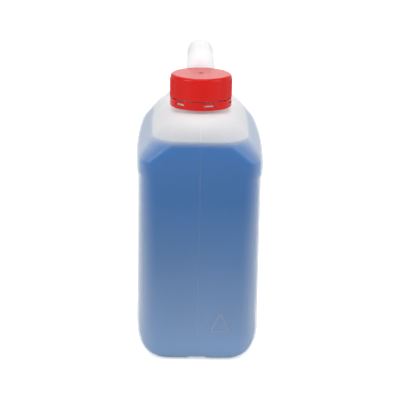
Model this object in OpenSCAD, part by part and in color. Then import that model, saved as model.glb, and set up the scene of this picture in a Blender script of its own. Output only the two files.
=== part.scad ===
// Five litre detergent jug: a blown shell with a built-in carry handle, a screw cap
// with a foam disc, a tamper ring left on the neck, and the liquid inside.
// X runs across the narrow front, the front face looks along -Y, Z is up.

/* [Jug shell] */
// Width across the two large sides, at their upright corners
body_w = 123; // [116:1:140]
// How far each large side swells out in the middle, under the liquid's weight
side_bulge = 2.4; // [0:0.2:4]
// Depth from the front face to the back
body_d = 194; // [186:1:230]
// Wall of the blown shell
wall = 1.5; // [1:0.1:2]
// Height of the rounding at the foot, in the front view
foot_high = 36; // [28:1:44]
// How far the foot draws in over that height, on each side
foot_side = 20; // [14:1:26]
// How much narrower the foot's upper end is than the shoulders, on each side
foot_in = 1.4; // [0:0.1:1.7]
// Set-back of the heel at the front and the back
heel = 12; // [8:1:20]
// Radius of the upright corners
corner = 16; // [10:1:18]
// Height of the shoulders, from where the upright sides turn in up to the deck
shoulder_h = 48; // [44:1:52]
// Radius of that turn
shoulder_round = 20; // [12:1:30]
// Lean of the shoulders from upright, in degrees
shoulder_lean = 38; // [34:1:40]
// Radius to which the back corners open towards the deck
deck_corner = 44; // [20:1:48]

/* [Front shoulder under the neck] */
// Height above the start of the shoulders where the front begins to draw back
front_rise = 6; // [0:1:12]
// How far the front draws back from there up to the deck
front_back = 24; // [16:1:26]
// Radius of the front corners at the deck
front_corner = 36; // [24:1:38]
// Radius of the edge of the deck
deck_edge = 5; // [3:1:8]

/* [Side panels] */
// Depth of the label panels in the two large sides
panel_deep = 1.7; // [0.8:0.1:2.5]
// Distance from their upper edge up to the shoulders
panel_gap = 18; // [12:1:60]
// Length of the slope at their edges
panel_ramp = 5; // [3:1:8]

/* [Base and mark] */
// Width of the groove that the mould's pinch leaves along the base
groove_w = 17; // [10:1:24]
// Height of that groove
groove_h = 1.8; // [1:0.1:3]
// Width of the plain triangle in relief on the front
mark_w = 20; // [12:1:26]
// Height of that triangle, from its base to its apex
mark_h = 21.5; // [14:0.5:26]
// Height of its middle above the ground
mark_z = 40; // [38:1:80]
// How far the triangle lies right of the middle
mark_x = 22.5; // [0:0.5:30]
// Line width of the triangle
mark_line = 1.3; // [0.8:0.1:2]
// How far the triangle stands proud
mark_proud = 0.5; // [0.3:0.1:1]

/* [Handle] */
// Height of the top of the handle, and so of the whole jug
handle_z = 302; // [296:1:312]
// How far the top of the handle stands above the deck that carries the neck
handle_rise = 50; // [46:1:56]
// Width of the handle bar
bar_w = 29; // [25:1:34]
// Depth of the handle bar from its top to the finger opening
bar_h = 26; // [22:1:28]
// Gap from the tamper ring back to the handle
handle_gap = 5; // [4:0.5:8]
// Thickness of the front leg
front_leg = 21; // [18:1:26]
// Thickness of the back leg
back_leg = 17; // [15:1:22]
// Radius of the handle's front top corner
front_round = 24; // [18:1:28]
// Radius of the handle's back top corner
back_round = 38; // [30:1:44]
// Radius of the corners of the finger opening
opening_round = 17; // [12:1:18]
// Height of the finger opening
opening_h = 38; // [36:1:42]
// Radius of the flare at the foot of the legs, in the front view
leg_flare = 13; // [8:1:18]
// Radius of the waist on each side of the bar, in plan
waist_round = 60; // [50:1:90]

/* [Neck] */
// From the front face back to the middle of the neck
neck_back = 54; // [52:1:60]
// Wall of the neck
neck_wall = 2.8; // [2.2:0.1:4]
// Depth of its thread
thread_deep = 1.8; // [1.4:0.1:2.2]
// Height of the neck above the deck
neck_h = 30; // [28:1:36]
// Clearance between the tamper ring and the bead that holds it
bead_gap = 0.5; // [0.2:0.1:0.6]
// Height of the underside of the bead above the deck
bead_low = 6.2; // [5.8:0.1:7]
// Height of the bead's upright edge, and of the slope above it
bead_edge = 1.2; // [0.8:0.1:1.6]

/* [Cap] */
// Diameter over the ribs
cap_d = 61.4; // [60.6:0.2:66]
// Thickness of the cap's top
cap_top = 2; // [1.4:0.1:3]
// Radius of the cap's top edge
cap_round = 3; // [1.5:0.5:4]
// How far the ribs stand proud
rib_proud = 0.5; // [0.3:0.1:0.8]
// Angle from one rib to the next
rib_step = 5.6; // [5:0.2:9]
// Half angle of the smooth field at the front and at the back
smooth_half = 41; // [20:1:60]
// Wall of the cap between its ribs
cap_wall = 2.7; // [2:0.1:3]
// Clearance between the cap and the thread
thread_gap = 0.5; // [0.3:0.1:0.8]
// Thickness of the foam disc in the cap
liner_t = 1.6; // [1:0.1:2.5]
// Clearance above, below and around the foam disc
liner_gap = 0.2; // [0.1:0.05:0.4]

/* [Tamper ring] */
// Height of the ring
ring_h = 8; // [7:0.5:9]
// Height of its lower edge above the deck
ring_low = 2.8; // [2:0.1:3.4]
// Wall of the ring
ring_wall = 1.4; // [1.2:0.1:1.6]
// How far the ring lies inside the line of the cap's ribs
ring_step = 0.3; // [0.2:0.1:0.6]
// How far its lower lip reaches in under the bead
hook = 1.1; // [0.9:0.1:1.4]
// Height of that lip
hook_h = 2.4; // [1.6:0.1:2.8]
// Gap between the ring and the cap
break_gap = 0.9; // [0.7:0.1:1.4]
// Number of bridges across that gap
bridges = 12; // [6:1:18]
// Number of windows in the ring
windows = 6; // [3:1:8]
// Width of a window
window_w = 11; // [6:0.5:13]
// Height of a window
window_h = 2.2; // [1.4:0.1:2.4]
// Height of the windows above the ring's lip
window_low = 0.8; // [0.6:0.1:1.2]
// Turn of the first window from the front, in degrees
window_turn = 16; // [0:1:30]
// Width of a bridge
bridge_w = 1; // [0.6:0.1:1.6]

/* [Liquid] */
// Distance from the liquid's level up to the floor of the finger opening
fill_gap = 8.5; // [6:0.5:60]

/* [Hidden] */
$fn = 96;

half_w = body_w / 2;
half_d = body_d / 2;

// Heights, counted down from the top of the handle
deck_z = handle_z - handle_rise;
shoulder_z = deck_z - shoulder_h;
front_z = shoulder_z + front_rise;
panel_high = shoulder_z - panel_gap;
opening_high = handle_z - bar_h;
opening_z = opening_high - opening_h;
handle_foot = opening_z;
fill_z = opening_z - fill_gap;

// Neck, ring and cap, counted inwards from the cap's ribs
neck_y = -half_d + neck_back;
neck_top = deck_z + neck_h;
ring_z = deck_z + ring_low;
ring_top = ring_z + ring_h;
bead_z = deck_z + bead_low;
cap_low = ring_top + break_gap;
cap_under = neck_top + liner_t + 2 * liner_gap;
cap_high = cap_under + cap_top;
cap_r = cap_d / 2 - rib_proud;
cap_bore = cap_r - cap_wall;
neck_r = cap_bore - thread_gap - thread_deep;
bore_r = neck_r - neck_wall;
ring_r = cap_d / 2 - ring_step;
bead_r = ring_r - ring_wall - bead_gap;
liner_r = cap_bore - liner_gap;

// Handle in the side view
leg_front = neck_y + cap_d / 2 + handle_gap;
opening_front = leg_front + front_leg;
opening_back = half_d - back_leg;

// Where the turn of the shoulder ends and its straight slope begins
turn_z = shoulder_z + shoulder_round * sin(shoulder_lean);
turn_half = half_w - shoulder_round * (1 - cos(shoulder_lean));
ramp_in = tan(shoulder_lean);

edge_top = deck_z - deck_edge;
edge_low = edge_top + deck_edge * sin(shoulder_lean);
corner_steps = 8;
side_steps = 6;
over = 1;
skin = 0.4;

// One slice of the shell: height, half width at the corners, front, back,
// front and back corner radius, and how far its sides swell out
function heel_slice(a, inset) = [
    foot_high - (foot_high - inset) * cos(a),
    half_w - foot_in - foot_side + (foot_side - inset) * sin(a),
    -half_d + heel - (heel - inset) * sin(a),
    half_d - heel + (heel - inset) * sin(a),
    corner - inset,
    corner - inset,
    side_bulge * sin(a)];
function panel_slice(z, deep, inset) = [
    z,
    half_w - deep - inset,
    -half_d + inset,
    half_d - inset,
    corner - inset,
    corner - inset,
    side_bulge];

// Above the shoulder the sides lean in, the front draws back in an arc and the
// corners open out
function top_slice(z, half, inset) = let (
    rise = max(z - front_z, 0) / (deck_z - inset - front_z),
    lean = max(z - shoulder_z, 0) / (deck_z - inset - shoulder_z),
    room = half - over) [
    z,
    half,
    -half_d + inset + front_back * (1 - sqrt(max(1 - rise * rise, 0))),
    half_d - inset,
    min(corner + (front_corner - corner) * sqrt(rise) - inset, room),
    min(corner + (deck_corner - corner) * lean - inset, room),
    side_bulge * (1 - lean)];
function turn_slice(a, inset) = top_slice(
    shoulder_z + (shoulder_round - inset) * sin(a),
    half_w - shoulder_round + (shoulder_round - inset) * cos(a),
    inset);
function slope_half(z, inset) =
    turn_half - (z - turn_z) * ramp_in - inset / cos(shoulder_lean);
function slope_slice(z, inset) = top_slice(z, slope_half(z, inset), inset);

// The deck's edge turns from the lean of the shoulders to level
edge_middle = slope_half(edge_low, 0) - deck_edge * cos(shoulder_lean);
function edge_slice(a, inset) = top_slice(
    edge_top + (deck_edge - inset) * sin(a),
    edge_middle + (deck_edge - inset) * cos(a),
    inset);

function slices(inset) = concat(
    [for (a = [0 : 15 : 90]) heel_slice(a, inset)],
    [panel_slice(foot_high + panel_ramp, panel_deep, inset),
        panel_slice(panel_high - panel_ramp, panel_deep, inset),
        panel_slice(panel_high, 0, inset)],
    [for (i = [0 : 4]) turn_slice(shoulder_lean * i / 4, inset)],
    [for (i = [1 : 7]) slope_slice(turn_z + (edge_low - turn_z) * i / 8, inset)],
    [for (i = [0 : 4]) edge_slice(shoulder_lean + (90 - shoulder_lean) * i / 4, inset)]);

// Outline of one slice, counter-clockwise from the back right corner
function corner_arc(s, q) = [for (i = [0 : corner_steps]) let (
    a = 90 * (q + i / corner_steps),
    r = q < 2 ? s[5] : s[4],
    x = (q == 0 || q == 3 ? 1 : -1) * (s[1] - r),
    y = q < 2 ? s[3] - r : s[2] + r)
    [x + r * cos(a), y + r * sin(a), s[0]]];
function side_line(s, side) = [for (i = [1 : side_steps - 1]) let (
    t = side * (2 * i / side_steps - 1),
    y0 = s[2] + s[4],
    y1 = s[3] - s[5])
    [side * (s[1] + s[6] * (1 - t * t)), (y0 + y1) / 2 + t * (y1 - y0) / 2, s[0]]];
function ring(s) = concat(
    corner_arc(s, 0), corner_arc(s, 1), side_line(s, -1),
    corner_arc(s, 2), corner_arc(s, 3), side_line(s, 1));

// Skin through all slices, drawn in by inset for the inside of the wall
module torso(inset) {
    rings = [for (s = slices(inset)) ring(s)];
    n = len(rings[0]);
    last = len(rings) - 1;
    polyhedron(
        points = [for (r = rings, p = r) p],
        faces = concat(
            [[for (i = [0 : n - 1]) i]],
            [for (k = [0 : last - 1], i = [0 : n - 1]) let (j = (i + 1) % n)
                [k * n + i, (k + 1) * n + i, (k + 1) * n + j, k * n + j]],
            [[for (i = [n - 1 : -1 : 0]) last * n + i]]));
}

// Rectangle with four true round corners
module round_box(y0, y1, z0, z1, r) {
    translate([y0 + r, z0]) square([y1 - y0 - 2 * r, z1 - z0]);
    translate([y0, z0 + r]) square([y1 - y0, z1 - z0 - 2 * r]);
    for (y = [y0 + r, y1 - r], z = [z0 + r, z1 - r])
        translate([y, z]) circle(r = r);
}

// Handle seen from the side: two legs, the bar and their round top corners
module handle_side(inset) {
    y0 = leg_front + inset;
    y1 = half_d - skin - inset;
    top = handle_z - inset;
    rf = front_round - inset;
    rb = back_round - inset;
    translate([y0, handle_foot]) square([y1 - y0, top - rb - handle_foot]);
    translate([y0, handle_foot]) square([y1 - rb - y0, top - rf - handle_foot]);
    translate([y0 + rf, handle_foot]) square([y1 - rb - y0 - rf, top - handle_foot]);
    translate([y0 + rf, top - rf]) circle(r = rf);
    translate([y1 - rb, top - rb]) circle(r = rb);
}

// Handle seen from the front: the legs flare out to the deck below a round bar
module handle_front(inset) {
    foot_half = bar_w / 2 + leg_flare;
    flare_z = deck_z + leg_flare;
    r = bar_w / 2 - inset;
    difference() {
        translate([-foot_half, handle_foot]) square([2 * foot_half, flare_z - handle_foot]);
        for (side = [-1, 1])
            translate([side * foot_half, flare_z]) circle(r = leg_flare + inset);
    }
    translate([-r, handle_foot]) square([2 * r, handle_z - bar_w / 2 - handle_foot]);
    translate([0, handle_z - bar_w / 2]) circle(r = r);
}

// Turns a drawing in (y, z) into a solid that runs across the jug
module across(width) {
    rotate([90, 0, 90]) translate([0, 0, -width / 2])
        linear_extrude(width) children();
}

module finger_opening(grow) {
    across(body_w + 2 * side_bulge + 2 * over)
        round_box(opening_front - grow, opening_back + grow,
            opening_z - grow, opening_high + grow, opening_round + grow);
}

module handle_block(inset) {
    mid_y = (opening_front + opening_back) / 2;
    waist_x = bar_w / 2 + waist_round;
    difference() {
        intersection() {
            across(body_w) handle_side(inset);
            rotate([90, 0, 0]) translate([0, 0, -half_d])
                linear_extrude(body_d) handle_front(inset);
            translate([0, 0, handle_foot])
                linear_extrude(handle_z)
                    round_box(-turn_half + inset, turn_half - inset,
                        leg_front - deck_corner, half_d - skin - inset, deck_corner - inset);
        }
        for (side = [-1, 1])
            translate([side * waist_x, mid_y, opening_z])
                cylinder(r = waist_round + inset, h = handle_z);
    }
}

// Groove along the base, cut from a form that is drawn in by inset
module base_groove(inset) {
    translate([-groove_w / 2 - inset, -half_d - over, -over])
        cube([groove_w + 2 * inset, body_d + 2 * over, groove_h + inset + over]);
}

// The whole form of the jug without its neck
module jug_form(inset) {
    difference() {
        union() {
            torso(inset);
            handle_block(inset);
        }
        base_groove(inset);
        finger_opening(inset);
    }
}

// Plain triangle in relief, low on the front face
module front_mark() {
    flank = sqrt(mark_w * mark_w / 4 + mark_h * mark_h);
    in_r = mark_w * mark_h / (mark_w + 2 * flank);
    shrink = 1 - mark_line / in_r;
    outline = [[-mark_w / 2, -in_r], [mark_w / 2, -in_r], [0, mark_h - in_r]];
    root = 0.8 * wall;
    translate([mark_x, -half_d + root, mark_z])
        rotate([90, 0, 0])
            linear_extrude(root + mark_proud)
                difference() {
                    polygon(outline);
                    polygon(outline * shrink);
                }
}

// Neck with its bead: the bead's top slopes so that the ring can be pressed over it
module neck_outside() {
    translate([0, neck_y, 0]) {
        translate([0, 0, deck_z - wall]) cylinder(r = neck_r, h = neck_h + wall);
        translate([0, 0, bead_z]) cylinder(r = bead_r, h = bead_edge);
        translate([0, 0, bead_z + bead_edge])
            cylinder(r1 = bead_r, r2 = neck_r, h = 2 * bead_edge);
    }
}

module jug_body() {
    color([0.88, 0.9, 0.91, 0.55])
        difference() {
            union() {
                difference() {
                    jug_form(0);
                    jug_form(wall);
                }
                front_mark();
                neck_outside();
            }
            translate([0, neck_y, deck_z - wall - over])
                cylinder(r = bore_r, h = neck_h + wall + 2 * over);
        }
}

module detergent() {
    color([0.2, 0.42, 0.66])
        intersection() {
            difference() {
                torso(wall);
                base_groove(wall);
            }
            translate([-body_w, -body_d, 0]) cube([2 * body_w, 2 * body_d, fill_z]);
        }
}

module tamper_ring() {
    inner = ring_r - ring_wall;
    bridge_set = 0.3;
    color([0.8, 0.14, 0.13])
        translate([0, neck_y, 0]) {
            difference() {
                translate([0, 0, ring_z]) cylinder(r = ring_r, h = ring_h);
                translate([0, 0, ring_z + hook_h]) cylinder(r = inner, h = ring_h);
                translate([0, 0, ring_z - over])
                    cylinder(r = inner - hook, h = hook_h + 2 * over);
                for (i = [0 : windows - 1])
                    rotate([0, 0, window_turn - 90 + i * 360 / windows])
                        translate([inner - over / 2, -window_w / 2, ring_z + hook_h + window_low])
                            cube([ring_wall + over, window_w, window_h]);
            }
            for (i = [0 : bridges - 1])
                rotate([0, 0, (i + 0.5) * 360 / bridges])
                    translate([inner + bridge_set, -bridge_w / 2, ring_top - bridge_set])
                        cube([ring_wall - 2 * bridge_set, bridge_w, break_gap]);
        }
}

module cap_liner() {
    color([0.95, 0.95, 0.93])
        translate([0, neck_y, neck_top + liner_gap]) cylinder(r = liner_r, h = liner_t);
}

// Upright ribs on the sides of the cap, with smooth fields at the front and the back
module cap_ribs() {
    rib_r = 0.9;
    span = 180 - 2 * smooth_half;
    count = floor(span / rib_step);
    first = (180 - count * rib_step) / 2;
    for (side = [0, 180], i = [0 : count])
        rotate([0, 0, side - 90 + first + i * rib_step])
            translate([cap_d / 2 - rib_r, 0, cap_low])
                cylinder(r = rib_r, h = cap_high - cap_low - cap_round - over, $fn = 24);
}

module screw_cap() {
    gate_r = 1.6;
    gate_deep = 0.4;
    color([0.83, 0.15, 0.13])
        translate([0, neck_y, 0])
            difference() {
                union() {
                    translate([0, 0, cap_low])
                        cylinder(r = cap_r, h = cap_high - cap_low - cap_round);
                    translate([0, 0, cap_high - cap_round])
                        cylinder(r = cap_r - cap_round, h = cap_round);
                    translate([0, 0, cap_high - cap_round])
                        rotate_extrude()
                            intersection() {
                                translate([cap_r - cap_round, 0]) circle(r = cap_round);
                                translate([cap_r - cap_round, 0]) square(cap_round);
                            }
                    cap_ribs();
                }
                translate([0, 0, cap_low - over])
                    cylinder(r = cap_bore, h = cap_under - cap_low + over);
                translate([0, 0, cap_high - gate_deep])
                    cylinder(r = gate_r, h = gate_deep + over);
            }
}

jug_body();
detergent();
tamper_ring();
cap_liner();
screw_cap();
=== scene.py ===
# %% [markdown]
# # A five litre jug of car wash detergent
#
# The jug is blown from natural polyethylene: a hot tube of plastic is closed in a
# two-part mould and blown out against its walls. That gives a milky, see-through
# wall, a parting line all round, a pinched groove in the base and a handle that is
# hollow and one with the shell. A red moulded cap with a tamper ring closes the neck.
#
# The model of the solids is loaded first. Everything after this keeps to its sizes.

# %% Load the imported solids
import math

import bmesh
import bpy
import numpy as np
from mathutils import Matrix, Vector


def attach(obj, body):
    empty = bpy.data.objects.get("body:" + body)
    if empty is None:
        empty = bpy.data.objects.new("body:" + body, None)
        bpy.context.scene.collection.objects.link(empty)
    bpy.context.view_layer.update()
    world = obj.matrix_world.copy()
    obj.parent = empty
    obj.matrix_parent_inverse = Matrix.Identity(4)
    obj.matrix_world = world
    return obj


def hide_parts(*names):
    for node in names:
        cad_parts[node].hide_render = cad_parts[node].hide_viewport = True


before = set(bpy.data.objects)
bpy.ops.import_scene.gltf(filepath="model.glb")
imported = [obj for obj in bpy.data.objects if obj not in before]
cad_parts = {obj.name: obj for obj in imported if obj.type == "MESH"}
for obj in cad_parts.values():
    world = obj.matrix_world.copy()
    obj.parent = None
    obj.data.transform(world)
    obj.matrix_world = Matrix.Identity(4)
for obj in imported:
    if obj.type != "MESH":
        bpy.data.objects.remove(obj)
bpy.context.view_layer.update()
MM = 0.001

# %% [markdown]
# ## Camera
#
# The photograph looks down on the jug by 17 degrees from about one and a half metres.
# A long lens keeps its sides nearly upright. The jug leans one degree in the picture,
# so the camera is rolled by that much, and it stands slightly left of the jug's middle.

# %% Place the camera
CAMERA_AT = Vector((-19.0, -1443.0, 582.0)) * MM
PITCH, YAW, ROLL = (math.radians(a) for a in (16.94, -0.82, 1.04))
FOCAL_PX, PICTURE_PX = 1449.0, 400.0

lens = bpy.data.cameras.new("camera")
lens.sensor_width = 36.0
lens.lens = lens.sensor_width * FOCAL_PX / PICTURE_PX
camera = bpy.data.objects.new("camera", lens)
bpy.context.scene.collection.objects.link(camera)
camera.matrix_world = (Matrix.Translation(CAMERA_AT)
                       @ Matrix.Rotation(YAW, 4, "Z")
                       @ Matrix.Rotation(math.pi / 2 - PITCH, 4, "X")
                       @ Matrix.Rotation(ROLL, 4, "Z"))
bpy.context.scene.camera = camera
bpy.context.scene.view_settings.view_transform = "Standard"
print("lens:", round(lens.lens, 1), "mm")

# %% [markdown]
# ## The form of the blown shell
#
# A blown shell has no sharp edge anywhere: the parison stretches over every corner of
# the mould in a soft curve. It could be modelled by hand with a subdivision surface,
# but a field of distances is easier to keep to size. Each function below gives, for a
# point in millimetres, how far it lies outside (above zero) or inside (below zero).
# The larger of two fields keeps what both hold, and the smaller keeps what either holds.
# One size departs from the solids: the label panels end 10 mm higher, as the photograph
# has it.

# %% Fields that the form is made of
WIDTH, DEPTH, WALL = 123.0, 194.0, 1.5
# Heights: end of the foot, start of the shoulders and of the front's bend, deck, top of the handle.
FOOT_HIGH, SHOULDER_Z, FRONT_Z, DECK_Z, HANDLE_Z = 36.0, 204.0, 210.0, 252.0, 302.0
# Tuck of the front and back at the foot, round and slope of the shoulders, swell of the sides.
TUCK, SHOULDER_ROUND, LEAN, SWELL = 12.0, 20.0, math.radians(38), 2.4
# Height and half width where the shoulder's round runs into its straight slope.
TURN_Z = SHOULDER_Z + SHOULDER_ROUND * math.sin(LEAN)
TURN_HALF = WIDTH / 2 - SHOULDER_ROUND * (1 - math.cos(LEAN))


def ease(t):
    """Goes softly from 0 to 1 while t goes from 0 to 1."""
    t = np.clip(t, 0, 1)
    return t * t * (3 - 2 * t)


def share(z, low, high):
    """How far z has come from low to high, between 0 and 1."""
    return np.clip((z - low) / (high - low), 0, 1)


def both(a, b, soft):
    """What two fields share, with the edge between them rounded."""
    h = np.maximum(soft - np.abs(a - b), 0) / soft
    return np.maximum(a, b) + h * h * soft / 4


def round_rectangle(u, v, half_u, low_v, high_v, low_r, high_r):
    """Distance to a rectangle with one corner radius at its low end, one at its high end."""
    middle, half_v = (low_v + high_v) / 2, (high_v - low_v) / 2
    r = np.where(v < middle, low_r, high_r)
    a = np.abs(u) - half_u + r
    b = np.abs(v - middle) - half_v + r
    return np.minimum(np.maximum(a, b), 0) + np.hypot(np.maximum(a, 0), np.maximum(b, 0)) - r


def foot_share(z):
    """How much of the foot's rounding is done: 0 on the ground, 1 from its upper end on."""
    return np.sqrt(1 - np.clip(1 - z / FOOT_HIGH, 0, 1) ** 2)


def half_width(z):
    """Half the width at the upright corners: foot, sides with sunk label panels, shoulders."""
    foot_side, foot_in, panel_deep, panel_high, ramp = 20.0, 1.4, 1.7, 196.0, 5.0
    least_half = 5.0
    sunk = (foot_in + foot_side * (1 - foot_share(z))
            + (panel_deep - foot_in) * ease((z - FOOT_HIGH) / ramp)
            - panel_deep * ease((z - panel_high + ramp) / ramp))
    turn = WIDTH / 2 - SHOULDER_ROUND + np.sqrt(
        np.maximum(SHOULDER_ROUND ** 2 - np.clip(z - SHOULDER_Z, 0, None) ** 2, 0))
    slope = TURN_HALF - (z - TURN_Z) * math.tan(LEAN)
    upper = np.where(z < TURN_Z, turn, np.maximum(slope, least_half))
    return np.where(z < SHOULDER_Z, WIDTH / 2 - sunk, upper)


def front_face(z):
    """Where the front face stands: it tucks in at the foot and draws back under the neck."""
    front_back = 24.0
    rise = share(z, FRONT_Z, DECK_Z)
    return -DEPTH / 2 + TUCK * (1 - foot_share(z)) + front_back * (1 - np.sqrt(1 - rise ** 2))


def torso(x, y, z):
    """The upright body: foot, sides, shoulders and the flat deck that the neck stands on."""
    corner, front_corner, back_corner, deck_edge = 16.0, 36.0, 44.0, 4.0
    z_up = np.clip(z, 0, None)
    half, front = half_width(z_up), front_face(z_up)
    back = DEPTH / 2 - TUCK * (1 - foot_share(z_up))
    rise, lean = share(z, FRONT_Z, DECK_Z), share(z, SHOULDER_Z, DECK_Z)
    front_r = np.minimum(corner + (front_corner - corner) * np.sqrt(rise), half - 1)
    back_r = np.minimum(corner + (back_corner - corner) * lean, half - 1)
    low, high = front + front_r, back - back_r
    along = (2 * y - low - high) / np.maximum(high - low, 1)
    swell = SWELL * foot_share(z_up) * (1 - lean) * np.maximum(1 - along ** 2, 0)
    sides = round_rectangle(x, y, half + swell, front, back, front_r, back_r)
    return both(np.maximum(sides, -z), z - DECK_Z, deck_edge)


def handle(x, y, z):
    """The arched bar. Its legs flare out into the deck, and it is narrowest in the middle."""
    foot_z, front_y, back_y, bar_half, flare = 238.0, -7.3, 96.6, 14.5, 13.0
    low_z, front_bend, back_bend, bar_soft = 100.0, 24.0, 38.0, 5.0
    waist_r, waist_y, waist_soft = 60.0, 46.85, 8.0
    side = round_rectangle(z - low_z, y, HANDLE_Z - low_z, front_y, back_y, front_bend, back_bend)
    off_x, off_z = bar_half + flare - np.abs(x), DECK_Z + flare - z
    flank = np.where(off_z > 0, flare - np.hypot(np.maximum(off_x, 0), off_z), -off_x + flare)
    crown = np.hypot(x, z - HANDLE_Z + bar_half) - bar_half
    ahead = np.where(z > HANDLE_Z - bar_half, crown, flank)
    waist = waist_r - np.hypot(np.abs(x) - bar_half - waist_r, y - waist_y)
    return np.maximum(both(both(side, ahead, bar_soft), waist, waist_soft), foot_z - z)


def finger_opening(y, z):
    middle_z, half_high, front_y, back_y, corner = 257.0, 19.0, 13.7, 80.0, 17.0
    return round_rectangle(z - middle_z, y, half_high, front_y, back_y, corner, corner)


def pinch_groove(x, z):
    half_wide, deep = 8.5, 1.8
    return np.maximum(np.abs(x) - half_wide, z - deep)


def jug_form(x, y, z):
    opening_soft = 6.0
    solid = np.minimum(torso(x, y, z), handle(x, y, z))
    return np.maximum(both(solid, -finger_opening(y, z), opening_soft), -pinch_groove(x, z))


print("width at z 100:", 2 * float(half_width(np.array(100.0))), "mm")

# %% [markdown]
# ## From field to skin
#
# The field is sampled on a grid. Around the handle and the deck it is averaged with
# its neighbours, which melts the handle's feet into the shoulders as blowing does.
# Surface nets then put one point in each cell that the surface crosses, and one face
# across each grid edge that it crosses. That gives even four-sided faces.

# %% Sample the form on a grid
STEP = 2.5
MELT_LOW, MELT_HIGH, MELT_SIGMA = 226.0, 240.0, 1.9
# The grid reaches a little past the form on every side.
grid_x = np.arange(-67.5, 67.6, STEP)
grid_y = np.arange(-102.5, 102.6, STEP)
grid_z = np.arange(-3.5, 309.0, STEP)
GRID_LOW = np.array([grid_x[0], grid_y[0], grid_z[0]])


def blurred(values, sigma):
    """Averages a grid with its neighbours, sigma in grid steps."""
    reach = int(3 * sigma)
    weights = np.exp(-0.5 * (np.arange(-reach, reach + 1) / sigma) ** 2)
    weights /= weights.sum()
    for axis in range(3):
        pad = [(reach, reach) if a == axis else (0, 0) for a in range(3)]
        wide = np.pad(values, pad, mode="edge")
        count = values.shape[axis]
        values = sum(w * np.take(wide, range(i, i + count), axis=axis)
                     for i, w in enumerate(weights))
    return values


grid = np.meshgrid(grid_x, grid_y, grid_z, indexing="ij")
field = jug_form(*grid)
melt = ease(share(grid_z, MELT_LOW, MELT_HIGH))
field = field * (1 - melt) + blurred(field, MELT_SIGMA) * melt
print("grid:", field.shape, "points")


# %% Turn the grid into faces
def surface_nets(values):
    """Points in millimetres, and four-sided faces that look outwards."""
    inside = values < 0
    cells = tuple(n - 1 for n in values.shape)

    def corner(of, c):
        return of[c[0]:cells[0] + c[0], c[1]:cells[1] + c[1], c[2]:cells[2] + c[2]]

    corners = [(i, j, k) for i in (0, 1) for j in (0, 1) for k in (0, 1)]
    total = sum(corner(inside, c).astype(int) for c in corners)
    crossed = (total > 0) & (total < 8)
    index = np.full(cells, -1)
    index[crossed] = np.arange(crossed.sum())
    place, hits = np.zeros(cells + (3,)), np.zeros(cells)
    for a in corners:
        for axis in range(3):
            if a[axis]:
                continue
            b = tuple(v + (axis == n) for n, v in enumerate(a))
            fa, fb = corner(values, a), corner(values, b)
            cut = (fa < 0) != (fb < 0)
            t = np.where(cut, fa / np.where(cut, fa - fb, 1), 0)
            for n in range(3):
                place[..., n] += np.where(cut, a[n] + (t if n == axis else 0), 0)
            hits += cut
    points = (place / np.maximum(hits, 1)[..., None])[crossed] + np.argwhere(crossed)
    faces = []
    for axis in range(3):
        u, v = (axis + 1) % 3, (axis + 2) % 3
        low = [slice(1, -1)] * 3
        low[axis] = slice(0, -1)
        high = list(low)
        high[axis] = slice(1, None)
        a, b = inside[tuple(low)], inside[tuple(high)]
        edge = np.argwhere(a != b)
        outward = a[tuple(edge.T)]
        edge[:, u] += 1
        edge[:, v] += 1
        ring = []
        for du, dv in ((-1, -1), (0, -1), (0, 0), (-1, 0)):
            cell = edge.copy()
            cell[:, u] += du
            cell[:, v] += dv
            ring.append(index[tuple(cell.T)])
        ring = np.stack(ring, 1)
        faces.append(np.where(outward[:, None], ring, ring[:, ::-1]))
    return points * STEP + GRID_LOW, np.concatenate(faces)


def sampled(values, points):
    """The grid's value at each point, from the eight grid points around it."""
    at = np.clip((points - GRID_LOW) / STEP, 0, np.array(values.shape) - 1.001)
    i = at.astype(int)
    t = at - i
    result = 0
    for c in range(8):
        d = np.array([c & 1, c >> 1 & 1, c >> 2 & 1])
        weight = np.prod(np.where(d, t, 1 - t), axis=1)
        result = result + weight * values[tuple((i + d).T)]
    return result


skin_points, skin_faces = surface_nets(field)
print("skin:", len(skin_points), "points,", len(skin_faces), "faces")

# %% [markdown]
# The points are then pulled onto the surface along the field's slope, and each gets an
# outward direction. The inside of the wall is the same skin, moved in by the wall's
# thickness along those directions.

# %% Settle the points and find the outward directions
SETTLE_ROUNDS, LEAST_SLOPE, FURTHEST_MOVE = 2, 0.5, 1.0
slopes = np.gradient(field, STEP)


def outward(points):
    """Outward directions at the points, and how steep the field is there."""
    g = np.stack([sampled(s, points) for s in slopes], 1)
    length = np.linalg.norm(g, axis=1, keepdims=True)
    return g / length, length[:, 0]


for _ in range(SETTLE_ROUNDS):
    normals, steepness = outward(skin_points)
    gap = sampled(field, skin_points) / np.maximum(steepness, LEAST_SLOPE)
    gap = np.clip(gap, -FURTHEST_MOVE, FURTHEST_MOVE)
    skin_points = skin_points - normals * gap[:, None]
skin_normals, _ = outward(skin_points)
print("box in mm:", skin_points.min(0).round(1), skin_points.max(0).round(1))


# %% Helpers that make, join and cut pieces
NECK_Y = -43.0


def piece(name, points, faces, body=None, slot=None):
    """A smooth mesh from points in millimetres. With a body it becomes a piece of the object."""
    mesh = bpy.data.meshes.new(name)
    mesh.from_pydata((np.asarray(points) * MM).tolist(), [], [list(map(int, f)) for f in faces])
    mesh.validate()
    mesh.shade_smooth()
    made = bpy.data.objects.new(name, mesh)
    bpy.context.scene.collection.objects.link(made)
    if body:
        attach(made, body)
    return made


def applied(made):
    """Takes a piece's modifiers into its mesh."""
    bpy.context.view_layer.update()
    graph = bpy.context.evaluated_depsgraph_get()
    old = made.data
    made.data = bpy.data.meshes.new_from_object(made.evaluated_get(graph))
    made.modifiers.clear()
    bpy.data.meshes.remove(old)


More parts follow.
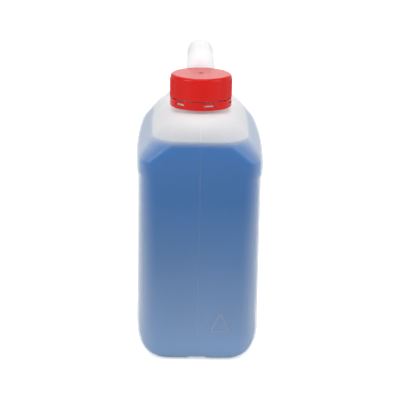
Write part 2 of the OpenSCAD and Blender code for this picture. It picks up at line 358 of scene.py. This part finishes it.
def combine(made, other, how):
    """Joins other to a piece or cuts it out of it, and deletes other."""
    step = made.modifiers.new(how, "BOOLEAN")
    step.operation, step.solver, step.object = how, "MANIFOLD", other
    applied(made)
    bpy.data.objects.remove(other)


def turned(name, rows, count, bump=None, **where):
    """A solid of revolution round the neck's axis, through rows of (radius, height, weight
    of the bumps). The first and the last row are on the axis."""
    angle = np.arange(count) * 2 * math.pi / count
    bumps = np.zeros(count) if bump is None else bump(angle)
    points = [(0.0, NECK_Y, rows[0][1])]
    for r, z, weight in rows[1:-1]:
        radius = r + weight * bumps
        points += zip(radius * np.cos(angle), NECK_Y + radius * np.sin(angle), np.full(count, z))
    points.append((0.0, NECK_Y, rows[-1][1]))
    faces, last = [], len(points) - 1
    for i in range(count):
        j = (i + 1) % count
        faces.append((0, 1 + i, 1 + j))
        for row in range(len(rows) - 3):
            a, b = 1 + row * count, 1 + (row + 1) * count
            faces.append((a + i, b + i, b + j, a + j))
        a = 1 + (len(rows) - 3) * count
        faces.append((last, a + j, a + i))
    return piece(name, points, faces, **where)


def crease(made, degrees):
    """Keeps edges sharper than this crisp in the shading."""
    made.data.set_sharp_from_angle(angle=math.radians(degrees))


print("the neck's axis stands at y", NECK_Y, "mm")

# %% [markdown]
# ## Shell with its neck
#
# The neck is formed between the blow pin and the mould, so it is thicker and more exact
# than the rest. Here it is turned as a solid of revolution, joined to the shell, and
# then bored through. The bead under the thread is what the tamper ring hooks on.

# %% Build the shell
NECK_TOP, BORE_R, ROOT_R, BEAD_R = 282.0, 22.4, 25.2, 28.5
LIP_R, FILLET, BURIED, BORE_HIGH, BORE_LOW, ROUND_STEPS = 0.6, 1.4, 2.4, 290.0, 244.0, 128


def arc(cx, cz, r, start, end, steps):
    """Points (radius, height, 0) on an arc, angles in degrees."""
    return [(cx + r * math.cos(a), cz + r * math.sin(a), 0)
            for a in np.radians(np.linspace(start, end, steps))]


bead_rows = [(ROOT_R, 262.4, 0), (ROOT_R + 0.4, 261.6, 0), (BEAD_R - 0.4, 259.8, 0),
             (BEAD_R, 259.3, 0), (BEAD_R, 258.6, 0), (BEAD_R - 0.4, 258.2, 0), (ROOT_R, 258.0, 0)]
neck_rows = ([(0, NECK_TOP, 0)]
             + arc(ROOT_R - LIP_R, NECK_TOP - LIP_R, LIP_R, 90, 0, 4)
             + bead_rows
             + arc(ROOT_R + FILLET, DECK_Z + FILLET, FILLET, 180, 270, 5)
             + [(ROOT_R + FILLET, DECK_Z - BURIED, 0), (0, DECK_Z - BURIED, 0)])

shell = piece("blown_shell",
              np.concatenate([skin_points, skin_points - skin_normals * WALL]),
              np.concatenate([skin_faces, skin_faces[:, ::-1] + len(skin_points)]),
              body="jug", slot="natural_hdpe")
combine(shell, turned("neck", neck_rows, ROUND_STEPS), "UNION")
bore_rows = [(0, BORE_HIGH, 0), (BORE_R, BORE_HIGH, 0), (BORE_R, BORE_LOW, 0), (0, BORE_LOW, 0)]
combine(shell, turned("bore", bore_rows, ROUND_STEPS), "DIFFERENCE")
crease(shell, 45)
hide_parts("jug_body")
print("shell:", len(shell.data.polygons), "faces")

# %% [markdown]
# ## Liquid
#
# The detergent fills the shell up to a level face. Its form is the inside of the wall,
# a hair smaller so that the two skins don't fight, cut off at the fill height.

# %% Fill the shell
FILL_Z, SKIN_GAP = 229.5, 0.06
AIR_R, AIR_TOP, AIR_STEPS = 300.0, 400.0, 8

liquid = piece("blue_liquid", skin_points - skin_normals * (WALL + SKIN_GAP), skin_faces,
               body="jug", slot="blue_detergent")
air_rows = [(0, AIR_TOP, 0), (AIR_R, AIR_TOP, 0), (AIR_R, FILL_Z, 0), (0, FILL_Z, 0)]
combine(liquid, turned("above_liquid", air_rows, AIR_STEPS), "DIFFERENCE")
crease(liquid, 45)
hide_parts("detergent")
print("liquid:", len(liquid.data.polygons), "faces")

# %% [markdown]
# ## Parting line
#
# Where the mould's halves meet, a fine ridge is left all round the jug, and round the
# inside of the finger opening, where the waste is torn out. It follows the cut of the
# skin with the middle plane, as a flat bar that stands 0.12 mm proud.


# %% Lay the ridge along the middle plane
def middle_loops(points, faces):
    """Closed loops where the skin crosses the plane x = 0."""
    source = bmesh.new()
    verts = [source.verts.new(p) for p in points]
    for f in faces[(points[faces, 0].min(1) <= 0) & (points[faces, 0].max(1) >= 0)]:
        source.faces.new([verts[i] for i in f])
    cut = bmesh.ops.bisect_plane(
        source, geom=source.verts[:] + source.edges[:] + source.faces[:],
        plane_co=(0, 0, 0), plane_no=(1, 0, 0))["geom_cut"]
    edges = {e for e in cut if isinstance(e, bmesh.types.BMEdge)}
    loops = []
    while edges:
        edge = min(edges, key=lambda e: (e.verts[0].co.z, e.verts[0].co.y))
        vert, loop = edge.verts[1], [edge.verts[0].co.copy()]
        while edge:
            edges.discard(edge)
            loop.append(vert.co.copy())
            edge = next((e for e in vert.link_edges if e in edges), None)
            vert = edge.other_vert(vert) if edge else vert
        loops.append(np.array(loop[:-1]))
    source.free()
    return loops


def ridge(name, loop, half_w, proud, root):
    """A narrow bar along a closed loop in the plane x = 0."""
    top_share = 0.4
    along = np.roll(loop, -1, 0) - np.roll(loop, 1, 0)
    along /= np.linalg.norm(along, axis=1, keepdims=True)
    across = np.stack([np.zeros(len(loop)), along[:, 2], -along[:, 1]], 1)
    normal, _ = outward(loop)
    across *= np.sign((across * normal).sum(1, keepdims=True))
    top = half_w * top_share
    section = [(-half_w, -root), (-top, proud), (top, proud), (half_w, -root)]
    points = np.concatenate([loop + across * h + np.array([w, 0, 0]) for w, h in section])
    n = len(loop)
    faces = [(a * n + i, a * n + (i + 1) % n, b * n + (i + 1) % n, b * n + i)
             for a, b in ((0, 1), (1, 2), (2, 3), (3, 0)) for i in range(n)]
    return piece(name, points, faces, body="jug", slot="natural_hdpe")


FEWEST_POINTS = 20
loops = [loop for loop in middle_loops(skin_points, skin_faces) if len(loop) > FEWEST_POINTS]
seams = [ridge(f"parting_line_{i + 1}", loop, half_w=0.7, proud=0.12, root=0.15)
         for i, loop in enumerate(loops)]
print("parting lines:", [(s.name, len(s.data.polygons)) for s in seams])

# %% [markdown]
# ## Plain triangle in relief
#
# Low on the front the mould leaves the outline of a plain triangle. It is cut into the
# mould with a round cutter, so the raised line has soft flanks and round corners.


# %% Raise the triangle
def closed_bar(name, loop, section, **where):
    """Sweeps a section of (sideways, outwards) round a closed loop laid on the front face."""
    along = np.roll(loop, -1, 0) - np.roll(loop, 1, 0)
    along /= np.linalg.norm(along, axis=1, keepdims=True)
    side = np.stack([along[:, 1], -along[:, 0]], 1)
    points, n = [], len(loop)
    for s, h in section:
        flat = loop + side * s
        points += [(x, front_face(z) - h, z) for x, z in flat]
    faces = [(a * n + i, a * n + (i + 1) % n, b * n + (i + 1) % n, b * n + i)
             for a, b in zip(range(len(section)), [*range(1, len(section)), 0]) for i in range(n)]
    return piece(name, points, faces, **where)


def triangle_line(cx, low_z, wide, tall, r, steps):
    """Middle of the raised line: a triangle with round corners, counter-clockwise, in short steps."""
    tips = np.array([(cx - wide / 2, low_z), (cx + wide / 2, low_z), (cx, low_z + tall)])
    outline = []
    for i in range(3):
        tip, before, after = tips[i], tips[i - 1], tips[(i + 1) % 3]
        to_before = (before - tip) / np.linalg.norm(before - tip)
        to_after = (after - tip) / np.linalg.norm(after - tip)
        half = math.acos(float(to_before @ to_after)) / 2
        middle = tip + (to_before + to_after) / 2 / math.cos(half) * r / math.sin(half)
        turn = math.pi - 2 * half
        spoke = np.array([-to_before[1], to_before[0]]) * r
        for t in np.linspace(0, turn, steps):
            outline.append(middle + spoke @ np.array([[math.cos(t), math.sin(t)],
                                                      [-math.sin(t), math.cos(t)]]))
    line = []
    for a, b in zip(outline, outline[1:] + outline[:1]):
        parts = max(int(np.linalg.norm(b - a)), 1)
        line += [a + (b - a) * i / parts for i in range(parts)]
    return np.array(line)


line_section = [(-0.8, -0.4), (-0.55, 0.3), (-0.25, 0.45), (0.25, 0.45), (0.55, 0.3), (0.8, -0.4)]
mark = closed_bar("triangle_in_relief",
                  triangle_line(cx=22.5, low_z=34.3, wide=18.2, tall=19.6, r=1.0, steps=7),
                  line_section, body="jug", slot="natural_hdpe")
print("triangle:", len(mark.data.polygons), "faces")

# %% [markdown]
# ## Threads
#
# The neck's thread is a rounded ridge that climbs 6 mm in a turn. The cap has the
# matching ridge inside, half a pitch away, so the two slide past each other when the
# cap turns and lifts. Both ridges taper out at their ends, as the cutter leaves them.

# %% Wind both threads
THREAD_RISE, THREAD_LOW, CAP_BORE = 6.0, 266.6, 27.5


def thread(name, root_r, crest_r, low_z, turns, body, slot):
    """A helical ridge between two radii: root_r is where it grows from."""
    steps_a_turn, tapers_a_turn, least = 72, 6, 0.02
    buried, sunk_half, root_half, crest_half = 0.2, 1.25, 1.15, 0.45
    steps = int(turns * steps_a_turn)
    points = []
    for i in range(steps + 1):
        t = i / steps
        grow = float(ease(min(t, 1 - t) * turns * tapers_a_turn))
        a = t * turns * 2 * math.pi
        z = low_z + t * turns * THREAD_RISE
        crest = root_r + (crest_r - root_r) * max(grow, least)
        sunk = root_r - buried * np.sign(crest_r - root_r)
        upper = [(crest, crest_half), (root_r, root_half), (sunk, sunk_half)]
        for r, dz in [(r, -half) for r, half in upper[::-1]] + upper:
            points.append((r * math.cos(a), NECK_Y + r * math.sin(a), z + dz))
    faces = [(6 * i + k, 6 * i + (k + 1) % 6, 6 * i + 6 + (k + 1) % 6, 6 * i + 6 + k)
             for i in range(steps) for k in range(6)]
    faces += [tuple(range(5, -1, -1)), tuple(6 * steps + k for k in range(6))]
    made = piece(name, points, faces, body=body, slot=slot)
    crease(made, 50)
    return made


neck_thread = thread("neck_thread", root_r=ROOT_R, crest_r=27.0, low_z=THREAD_LOW, turns=2.0,
                     body="jug", slot="natural_hdpe")
cap_thread = thread("cap_thread", root_r=CAP_BORE, crest_r=25.9, low_z=THREAD_LOW + THREAD_RISE / 2,
                    turns=1.75, body="cap", slot="red_plastic")
print("threads:", len(neck_thread.data.polygons), len(cap_thread.data.polygons), "faces")

# %% [markdown]
# ## Screw cap
#
# The cap is moulded in polypropylene. It has upright ribs at its sides, smooth fields at
# the front and the back, a round top edge and, in the middle of the top, the small pit
# where the plastic was let in. All of that is one solid of revolution whose radius is
# pushed out where a rib stands.

# %% Turn the cap
CAP_LOW, CAP_HIGH, CAP_R, CAP_UNDER, EDGE_R, CAP_STEPS = 263.7, 286.0, 30.2, 284.0, 3.0, 1080
# How far a rib stands proud and half its width in mm, then the ribs' step and half of a
# smooth field in degrees.
RIB_PROUD, RIB_HALF, RIB_STEP, SMOOTH_HALF = 0.5, 0.85, 5.6, 41.0


def ribs(angle):
    """How far the ribs stand proud at each angle."""
    span = 180 - 2 * SMOOTH_HALF
    number = int(span / RIB_STEP)
    first = (180 - number * RIB_STEP) / 2
    middles = [side - 90 + first + i * RIB_STEP for side in (0, 180) for i in range(number + 1)]
    proud = np.zeros_like(angle)
    for middle in middles:
        off = (np.degrees(angle) - middle + 180) % 360 - 180
        away = np.radians(off) * CAP_R / RIB_HALF
        proud = np.maximum(proud, RIB_PROUD * np.sqrt(np.maximum(1 - away ** 2, 0)))
    return proud


pit_rows = [(0, CAP_HIGH - 0.4, 0), (1.2, CAP_HIGH - 0.4, 0),
            (1.6, CAP_HIGH - 0.15, 0), (1.9, CAP_HIGH, 0)]
top_rows = ([(r, CAP_HIGH, 0) for r in (8, 18, 25)]
            + arc(CAP_R - EDGE_R, CAP_HIGH - EDGE_R, EDGE_R, 90, 0, 9))
rib_rows = ([(CAP_R, 282.1, 0), (CAP_R, 281.7, 0.6), (CAP_R, 281.2, 0.9), (CAP_R, 280.6, 1)]
            + [(CAP_R, z, 1) for z in np.linspace(278, CAP_LOW + 0.6, 7)]
            + [(CAP_R - 0.05, CAP_LOW + 0.2, 0.9), (CAP_R - 0.3, CAP_LOW, 0.6)])
inner_rows = [(CAP_BORE + 0.4, CAP_LOW, 0), (CAP_BORE, CAP_LOW + 0.4, 0), (CAP_BORE, 272, 0),
              (CAP_BORE, CAP_UNDER - 0.6, 0), (CAP_BORE - 0.2, CAP_UNDER - 0.1, 0),
              (CAP_BORE - 0.6, CAP_UNDER, 0), (20, CAP_UNDER, 0), (0, CAP_UNDER, 0)]
cap = turned("ribbed_cap", pit_rows + top_rows + rib_rows + inner_rows, CAP_STEPS, bump=ribs,
             body="cap", slot="red_plastic")
crease(cap, 55)
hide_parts("screw_cap")
print("cap:", len(cap.data.polygons), "faces")

# %% [markdown]
# The tamper ring and the foam disc keep their solids. A fine bevel takes the sharp
# edge off, as every moulded or cut edge has.

# %% Soften the ring and the disc
for name, width in (("tamper_ring", 0.2), ("cap_liner", 0.25)):
    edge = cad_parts[name].modifiers.new("soft_edge", "BEVEL")
    edge.width, edge.segments, edge.limit_method = width * MM, 2, "ANGLE"
    edge.angle_limit = math.radians(40)
print("bevels set")

# %% [markdown]
# ## Materials
#
# Each material starts from what the real one is. One function turns a hex colour to the
# linear numbers that Blender mixes light with, and one adds a node with its settings
# and its links. The scale of each pattern comes from the size of its features.


# %% Helpers for materials
# Noise keeps near the middle of its span, so this part of it is spread out.
NOISE_SPAN = {"From Min": 0.3, "From Max": 0.7}


def scale_of(feature):
    """The scale of a pattern whose features have this size in millimetres."""
    return 1 / (feature * MM)


def linear(hex_colour):
    """An sRGB hex colour as linear red, green, blue and full alpha."""
    parts = [int(hex_colour[i:i + 2], 16) / 255 for i in (1, 3, 5)]
    return [c / 12.92 if c <= 0.04045 else ((c + 0.055) / 1.055) ** 2.4 for c in parts] + [1.0]


def add(tree, kind, inputs=(), **settings):
    """Adds a node. Inputs are numbers, colours, or the outputs that are linked to them."""
    node = tree.nodes.new(kind)
    for key, value in settings.items():
        setattr(node, key, value)
    for key, value in dict(inputs).items():
        if isinstance(value, bpy.types.NodeSocket):
            tree.links.new(value, node.inputs[key])
        else:
            node.inputs[key].default_value = value
    return node


def new_material(name):
    made = bpy.data.materials.new(name)
    made.use_nodes = True
    made.node_tree.nodes.clear()
    return made, made.node_tree


def show(tree, shader):
    """Links a shader to the material's surface."""
    tree.links.new(shader.outputs[0], add(tree, "ShaderNodeOutputMaterial").inputs["Surface"])


def dress(made, *materials):
    """Gives a piece these materials and no others."""
    made.data.materials.clear()
    for material in materials:
        made.data.materials.append(material)


print("a grain of 0.2 mm has the scale", round(scale_of(0.2)))

# %% [markdown]
# ### Natural polyethylene, blown
#
# Unpigmented HDPE is milky, because its crystals scatter light. IOR 1.54, satin, never
# quite smooth: the mould is sand-blasted so that air can escape, which gives a fine
# grain. Where the liquid wets the inside, far less light is scattered there, and the
# wall turns clear enough to show the blue. Above the level the dry wall is nearly white.
# The wall is thickest at the base, where the tube stretches least, so it is milkier
# there. Five materials share one recipe: the wet wall, the ridge and the relief on it,
# the dry wall, and the thick plastic of the neck's thread.


# %% Milky polyethylene
def polyethylene(name, colour, milk_low, milk_high, low_z=0.0, high_z=100.0,
                 edge_milk_and_sheen=0.0, side=0.0, level_light=0.0, gleam=0.5):
    """Milk goes from milk_low at low_z to milk_high at high_z. The argument after high_z adds milk
    where the wall is seen edge-on: partly the longer path through the milky wall, partly a painted
    sheen of the white surroundings. The next one paints light on the two large sides, for the light
    that comes in from beside, less towards the shoulders. The one after paints light just under the
    liquid's level. Gleam is the strength of the mirror image."""
    side_in, side_out, side_full, side_gone = 40.0, 58.0, 110.0, 222.0
    level_light_high, level_light_curve, edge_sheen_curve = 9.0, 3.0, 1.5
    foot_low, foot_high, foot_edge_sheen = 5.0, 60.0, 0.25
    made, tree = new_material(name)
    place = add(tree, "ShaderNodeTexCoord").outputs["Object"]
    split = add(tree, "ShaderNodeSeparateXYZ", {0: place})
    milk = add(tree, "ShaderNodeMapRange", {
        "Value": split.outputs["Z"], "From Min": low_z * MM, "From Max": high_z * MM,
        "To Min": milk_low, "To Max": milk_high}, interpolation_type="SMOOTHSTEP").outputs[0]
    cloud = add(tree, "ShaderNodeTexNoise", {
        "Vector": place, "Scale": scale_of(55.6), "Detail": 3.0, "Roughness": 0.5}).outputs["Fac"]
    uneven = add(tree, "ShaderNodeMapRange", {
        "Value": cloud, **NOISE_SPAN, "To Min": 0.93, "To Max": 1.07}).outputs[0]
    milk = add(tree, "ShaderNodeMath", {0: milk, 1: uneven}, operation="MULTIPLY").outputs[0]
    # Painted light on the two large sides, for the light that comes in there from beside; it fades
    # out towards the shoulders.
    aside = add(tree, "ShaderNodeMath", {0: split.outputs["X"]}, operation="ABSOLUTE").outputs[0]
    side_light = add(tree, "ShaderNodeMapRange", {
        "Value": aside, "From Min": side_in * MM, "From Max": side_out * MM,
        "To Min": 0.0, "To Max": side}, interpolation_type="SMOOTHSTEP").outputs[0]
    below = add(tree, "ShaderNodeMapRange", {
        "Value": split.outputs["Z"], "From Min": side_full * MM, "From Max": side_gone * MM,
        "To Min": 1.0, "To Max": 0.0}, interpolation_type="SMOOTHSTEP").outputs[0]
    side_light = add(tree, "ShaderNodeMath", {0: side_light, 1: below}, operation="MULTIPLY").outputs[0]
    milk = add(tree, "ShaderNodeMath", {0: milk, 1: side_light}, operation="ADD").outputs[0]
    # Painted light: the wall is made milkier, and so lighter, just under the liquid's level.
    near = add(tree, "ShaderNodeMapRange", {
        "Value": split.outputs["Z"],
        "From Min": (FILL_Z - level_light_high) * MM, "From Max": FILL_Z * MM}).outputs[0]
    near = add(tree, "ShaderNodeMath", {0: near, 1: level_light_curve}, operation="POWER").outputs[0]
    milk = add(tree, "ShaderNodeMath", {
        0: near, 1: level_light, 2: milk}, operation="MULTIPLY_ADD").outputs[0]
    # Milk where the wall is seen edge-on: partly the longer path through the milky wall, partly a
    # painted sheen of the white surroundings. There is less of it near the foot.
    facing = add(tree, "ShaderNodeLayerWeight", {"Blend": 0.5}).outputs["Facing"]
    edge_on = add(tree, "ShaderNodeMath", {0: facing, 1: edge_sheen_curve}, operation="POWER").outputs[0]
    above_foot = add(tree, "ShaderNodeMapRange", {
        "Value": split.outputs["Z"], "From Min": foot_low * MM, "From Max": foot_high * MM,
        "To Min": foot_edge_sheen * edge_milk_and_sheen, "To Max": edge_milk_and_sheen}, interpolation_type="SMOOTHSTEP").outputs[0]
    edge_on = add(tree, "ShaderNodeMath", {
        0: edge_on, 1: above_foot}, operation="MULTIPLY").outputs[0]
    clear = add(tree, "ShaderNodeMath", {0: 1.0, 1: milk}, operation="SUBTRACT").outputs[0]
    milk = add(tree, "ShaderNodeMath", {
        0: edge_on, 1: clear, 2: milk}, operation="MULTIPLY_ADD").outputs[0]
    milk = add(tree, "ShaderNodeMath", {0: milk, 1: 1.0}, operation="MINIMUM").outputs[0]
    grain = add(tree, "ShaderNodeTexNoise", {
        "Vector": place, "Scale": scale_of(0.2), "Detail": 2.0, "Roughness": 0.6}).outputs["Fac"]
    bump = add(tree, "ShaderNodeBump", {
        "Height": grain, "Strength": 0.02, "Distance": 0.05 * MM}).outputs[0]
    gloss = add(tree, "ShaderNodeMapRange", {
        "Value": cloud, **NOISE_SPAN, "To Min": 0.4, "To Max": 0.48}).outputs[0]
    show(tree, add(tree, "ShaderNodeBsdfPrincipled", {
        "Base Color": linear(colour), "Roughness": gloss, "IOR": 1.54, "Specular IOR Level": gleam,
        "Alpha": milk, "Normal": bump}))
    return made


wet_wall = polyethylene("natural_hdpe_wet", "#DCE4EC", milk_low=0.07, milk_high=0.008,
                        high_z=180.0, edge_milk_and_sheen=0.55, side=0.08, level_light=0.45)
dry_wall = polyethylene("natural_hdpe_dry", "#F6F6F7", milk_low=0.42, milk_high=0.985,
                        low_z=FILL_Z, high_z=262.0, edge_milk_and_sheen=0.6, gleam=0.25)
wet_ridge = polyethylene("natural_hdpe_ridge", "#DCE4EC", milk_low=0.03, milk_high=0.01, edge_milk_and_sheen=0.1)
wet_relief = polyethylene("natural_hdpe_relief", "#DCE4EC", milk_low=0.05, milk_high=0.04,
                          high_z=60.0, edge_milk_and_sheen=0.6)
solid_hdpe = polyethylene("natural_hdpe_thick", "#F1F0F3", milk_low=0.75, milk_high=0.9, edge_milk_and_sheen=0.2)


def wall_materials(made, wet):
    """Cuts a piece of the wall at the liquid's level, for one material below and one above."""
    mesh = bmesh.new()
    mesh.from_mesh(made.data)
    bmesh.ops.bisect_plane(mesh, geom=mesh.verts[:] + mesh.edges[:] + mesh.faces[:],
                           plane_co=(0, 0, FILL_Z * MM), plane_no=(0, 0, 1))
    mesh.to_mesh(made.data)
    mesh.free()
    dress(made, wet, dry_wall)
    heights = np.zeros(len(made.data.polygons) * 3)
    made.data.polygons.foreach_get("center", heights)
    dry = (heights[2::3] > FILL_Z * MM).astype(np.int32)
    made.data.polygons.foreach_set("material_index", dry)


wall_materials(shell, wet_wall)
wall_materials(mark, wet_relief)
for seam in seams:
    wall_materials(seam, wet_ridge)
dress(neck_thread, solid_hdpe)
print("wall materials set")

# %% [markdown]
# ### Car wash detergent
#
# A clear liquid dyed blue. So deep a body of it lets nothing through, so what the eye
# sees is one deep blue that comes from just behind the wall. Lower down more stray
# light reaches it through the thicker wall, and it looks paler.

# %% Blue liquid
detergent, tree = new_material("blue_detergent")
place = add(tree, "ShaderNodeTexCoord").outputs["Object"]
height = add(tree, "ShaderNodeSeparateXYZ", {0: place}).outputs["Z"]
ramp = add(tree, "ShaderNodeValToRGB", {"Fac": add(tree, "ShaderNodeMapRange", {
    "Value": height, "From Min": 0.0, "From Max": FILL_Z * MM}).outputs[0]})
ramp.color_ramp.elements[0].color = linear("#6F9DCE")
ramp.color_ramp.elements[1].color = linear("#417BBB")
for share, colour in ((0.12, "#6A92C2"), (0.45, "#4B7CB2"), (0.75, "#3A71AE")):
    ramp.color_ramp.elements.new(share).color = linear(colour)
swirl = add(tree, "ShaderNodeTexNoise", {
    "Vector": place, "Scale": scale_of(111.0), "Detail": 2.0, "Distortion": 0.6}).outputs["Fac"]
depth = add(tree, "ShaderNodeMapRange", {
    "Value": swirl, **NOISE_SPAN, "To Min": 0.96, "To Max": 1.04}).outputs[0]
blue = add(tree, "ShaderNodeHueSaturation", {
    "Color": ramp.outputs["Color"], "Value": depth}).outputs[0]
show(tree, add(tree, "ShaderNodeBsdfPrincipled", {
    "Base Color": blue, "Roughness": 0.25, "IOR": 1.34}))
dress(liquid, detergent)
print("liquid material set")

# %% [markdown]
# ### Red polypropylene, injection moulded
#
# Polypropylene, IOR 1.49, from a polished mould: glossy, with the slight waviness that
# shrinking gives a thick moulding.

# %% Red plastic
red_plastic, tree = new_material("red_polypropylene")
place = add(tree, "ShaderNodeTexCoord").outputs["Object"]
wave = add(tree, "ShaderNodeTexNoise", {
    "Vector": place, "Scale": scale_of(16.67), "Detail": 2.0}).outputs["Fac"]
fine = add(tree, "ShaderNodeTexNoise", {
    "Vector": place, "Scale": scale_of(0.5556), "Detail": 1.0}).outputs["Fac"]
wavy = add(tree, "ShaderNodeBump", {
    "Height": wave, "Strength": 0.08, "Distance": 0.6 * MM}).outputs[0]
rough = add(tree, "ShaderNodeBump", {
    "Height": fine, "Strength": 0.03, "Distance": 0.2 * MM, "Normal": wavy}).outputs[0]
tint = add(tree, "ShaderNodeMapRange", {
    "Value": wave, **NOISE_SPAN, "To Min": 0.97, "To Max": 1.03}).outputs[0]
red = add(tree, "ShaderNodeHueSaturation", {"Color": linear("#D4110B"), "Value": tint}).outputs[0]
gloss = add(tree, "ShaderNodeMapRange", {
    "Value": fine, **NOISE_SPAN, "To Min": 0.18, "To Max": 0.23}).outputs[0]
show(tree, add(tree, "ShaderNodeBsdfPrincipled", {
    "Base Color": red, "Roughness": gloss, "IOR": 1.49, "Specular IOR Level": 0.25, "Normal": rough}))
for part in (cap, cap_thread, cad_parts["tamper_ring"]):
    dress(part, red_plastic)
print("red plastic set")

# %% [markdown]
# ### Foam disc
#
# The seal is cut from foamed polyethylene sheet: white, matt, with closed cells of
# about 0.4 mm that show as fine pits.

# %% Foamed polyethylene
foam, tree = new_material("foamed_polyethylene")
place = add(tree, "ShaderNodeTexCoord").outputs["Object"]
cells = add(tree, "ShaderNodeTexVoronoi", {
    "Vector": place, "Scale": scale_of(0.4)}).outputs["Distance"]
pits = add(tree, "ShaderNodeBump", {
    "Height": cells, "Strength": 0.5, "Distance": 0.2 * MM}).outputs[0]
# Painted shade: each pit is coloured a little darker towards its bottom.
painted_pit_shade = add(tree, "ShaderNodeMapRange", {
    "Value": cells, "From Min": 0.0, "From Max": 0.6, "To Min": 0.92, "To Max": 1.0}).outputs[0]
white = add(tree, "ShaderNodeHueSaturation", {
    "Color": linear("#F0F0EC"), "Value": painted_pit_shade}).outputs[0]
show(tree, add(tree, "ShaderNodeBsdfPrincipled", {
    "Base Color": white, "Roughness": 0.75, "IOR": 1.5, "Normal": pits}))
dress(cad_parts["cap_liner"], foam)
print("foam set")

# %% [markdown]
# ## Studio
#
# The photograph has a pure white ground. The floor is matt white with a part of its own
# light that only the camera sees, so it shows white and still takes the jug's soft
# shadow. Large soft lamps stand left, right, above and behind.


# %% Floor, world and lamps
FLOOR_SIZE, FLOOR_DROP, FLOOR_GLOW = 12.0, 0.2 * MM, 0.62
SKY_LIGHT, WHITE = 0.55, (1, 1, 1, 1)


def in_view(tree):
    """1 for what the camera sees, straight or through something clear, and 0 for other light."""
    path = add(tree, "ShaderNodeLightPath").outputs
    return add(tree, "ShaderNodeMath", {
        0: path["Is Camera Ray"], 1: path["Is Transmission Ray"]}, operation="MAXIMUM").outputs[0]


bpy.ops.mesh.primitive_plane_add(size=FLOOR_SIZE, location=(0, 0, -FLOOR_DROP))
floor = bpy.context.object
floor.name = "floor"
white_floor, tree = new_material("white_floor")
power = add(tree, "ShaderNodeMath", {0: in_view(tree), 1: FLOOR_GLOW}, operation="MULTIPLY")
matt = add(tree, "ShaderNodeBsdfDiffuse", {"Color": linear("#E8E8E8")})
glow = add(tree, "ShaderNodeEmission", {"Color": WHITE, "Strength": power.outputs[0]})
show(tree, add(tree, "ShaderNodeAddShader", {0: matt.outputs[0], 1: glow.outputs[0]}))
floor.data.materials.append(white_floor)

world = bpy.data.worlds.new("studio")
bpy.context.scene.world = world
world.use_nodes = True
tree = world.node_tree
tree.nodes.clear()
power = add(tree, "ShaderNodeMapRange", {
    "Value": in_view(tree), "To Min": SKY_LIGHT, "To Max": 1.0})
sky = add(tree, "ShaderNodeBackground", {"Color": WHITE, "Strength": power.outputs[0]})
tree.links.new(sky.outputs[0], add(tree, "ShaderNodeOutputWorld").inputs["Surface"])


def soft_lamp(name, place, aim, size, watts):
    """A square lamp of this size in metres, turned to look at a point."""
    light = bpy.data.lights.new(name, "AREA")
    light.shape, light.size, light.energy = "SQUARE", size, watts
    lamp = bpy.data.objects.new(name, light)
    bpy.context.scene.collection.objects.link(lamp)
    lamp.location = place
    lamp.rotation_euler = (Vector(aim) - Vector(place)).to_track_quat("-Z", "Y").to_euler()
    return lamp


lamps = [soft_lamp(*row) for row in (
    ("top_lamp", (0.0, -0.1, 1.7), (0, 0, 0.2), 0.8, 4.0),
    ("left_lamp", (-1.4, -1.1, 1.1), (0, 0, 0.15), 1.0, 14.5),
    ("right_lamp", (1.5, -0.8, 1.0), (0, 0, 0.15), 1.0, 12.0),
    ("back_lamp", (0.15, 1.5, 0.95), (0, 0, 0.25), 1.3, 4.0))]
print("lamps:", [lamp.name for lamp in lamps])
